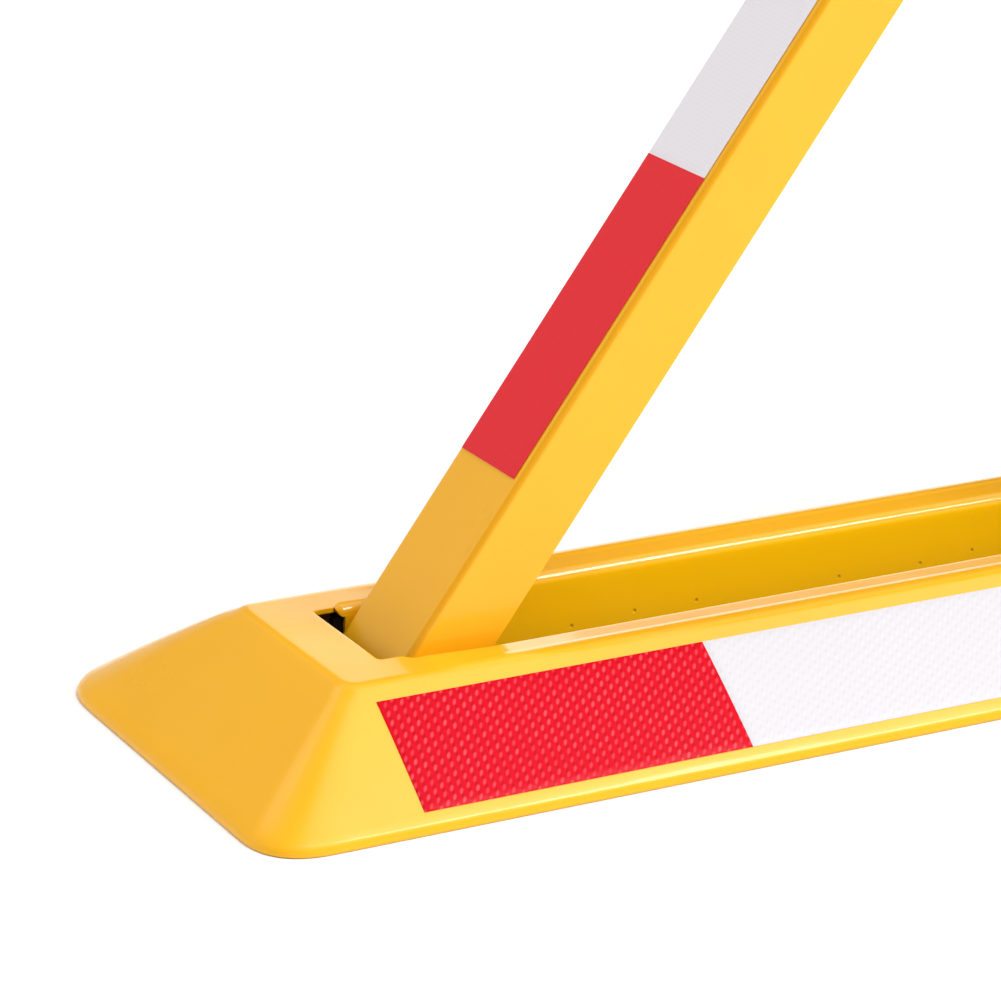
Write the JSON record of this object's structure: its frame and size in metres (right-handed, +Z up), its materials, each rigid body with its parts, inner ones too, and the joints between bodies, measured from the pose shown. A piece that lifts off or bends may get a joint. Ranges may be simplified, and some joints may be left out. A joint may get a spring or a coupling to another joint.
{
  "type": "folding parking lock",
  "caption": "Low steel base with a long slot and two hinged channel arms that stand up as a triangle and fold flat into the slot; reflective tape and a key lock in the arm's tip.",
  "frame": {"origin": "centre of the base on the ground", "axes": "+X along the base from the left arm's pivot to the right arm's pivot, +Z up, -Y the near side where the lock bolt comes out"},
  "size_m": [0.76, 0.216, 0.413],
  "materials": {
    "yellow_pan": "glossy yellow powder coat on pressed steel",
    "yellow_arm": "satin yellow powder coat",
    "black_primer": "dark primer on the steel channel and plates inside the base",
    "tape_red": "red retroreflective tape with a fine diamond pattern",
    "tape_white": "white retroreflective tape with a fine diamond pattern",
    "zinc_steel": "zinc plated steel",
    "cast_zinc": "die-cast zinc",
    "brass_lock": "brushed brass",
    "black_plastic": "moulded black plastic",
    "nylon": "natural nylon",
    "rubber": "black rubber"
  },
  "bodies": {
    "base": {"base_pan": "yellow_pan", "floor_channel": "black_primer", "pivot_doublers": "black_primer", "support_gussets": "black_primer", "rest_pads": "rubber", "left_pivot_bolt": "zinc_steel", "right_pivot_bolt": "zinc_steel", "pivot_nuts": "zinc_steel", "pivot_washers": "zinc_steel", "left_arm_spacers": "nylon", "right_arm_spacers": "nylon", "near_tape_red": "tape_red", "near_tape_white": "tape_white", "far_tape_red": "tape_red", "far_tape_white": "tape_white"},
    "left_arm": {"left_arm": "yellow_arm", "left_pivot_sleeve": "zinc_steel", "left_arm_tape_red": "tape_red", "left_arm_tape_white": "tape_white", "left_arm_end_cap": "black_plastic", "lock_housing": "cast_zinc", "lock_barrel": "brass_lock", "lock_cover": "zinc_steel", "lock_screws": "zinc_steel", "lock_rivets": "zinc_steel"},
    "right_arm": {"right_arm": "yellow_arm", "right_pivot_sleeve": "zinc_steel", "right_arm_tape_red": "tape_red", "right_arm_tape_white": "tape_white"},
    "lock_plug": {"lock_plug": "brass_lock"},
    "lock_bolt": {"lock_bolt": "zinc_steel"}
  },
  "joints": [
    {"name": "left_arm_fold", "type": "hinge", "parent": "base", "child": "left_arm", "pos_m": [-0.2694, 0, 0.0225], "axis": [0, 1, 0], "range_deg": [0, 53.9]},
    {"name": "right_arm_fold", "type": "hinge", "parent": "base", "child": "right_arm", "pos_m": [0.2694, 0, 0.0225], "axis": [0, -1, 0], "range_deg": [0, 53.9]},
    {"name": "lock_plug_turn", "type": "hinge", "parent": "left_arm", "child": "lock_plug", "pos_m": [-0.01958, 0, 0.36509], "axis": [0.808, 0, -0.5892], "range_deg": [0, 90]},
    {"name": "lock_bolt_throw", "type": "slide", "parent": "left_arm", "child": "lock_bolt", "axis": [0, -1, 0], "range_m": [0, 0.00424]}
  ],
  "couplings": [
    {"joint": "lock_plug_turn", "follows": "lock_bolt_throw", "rad_per_m": 370.47}
  ]
}
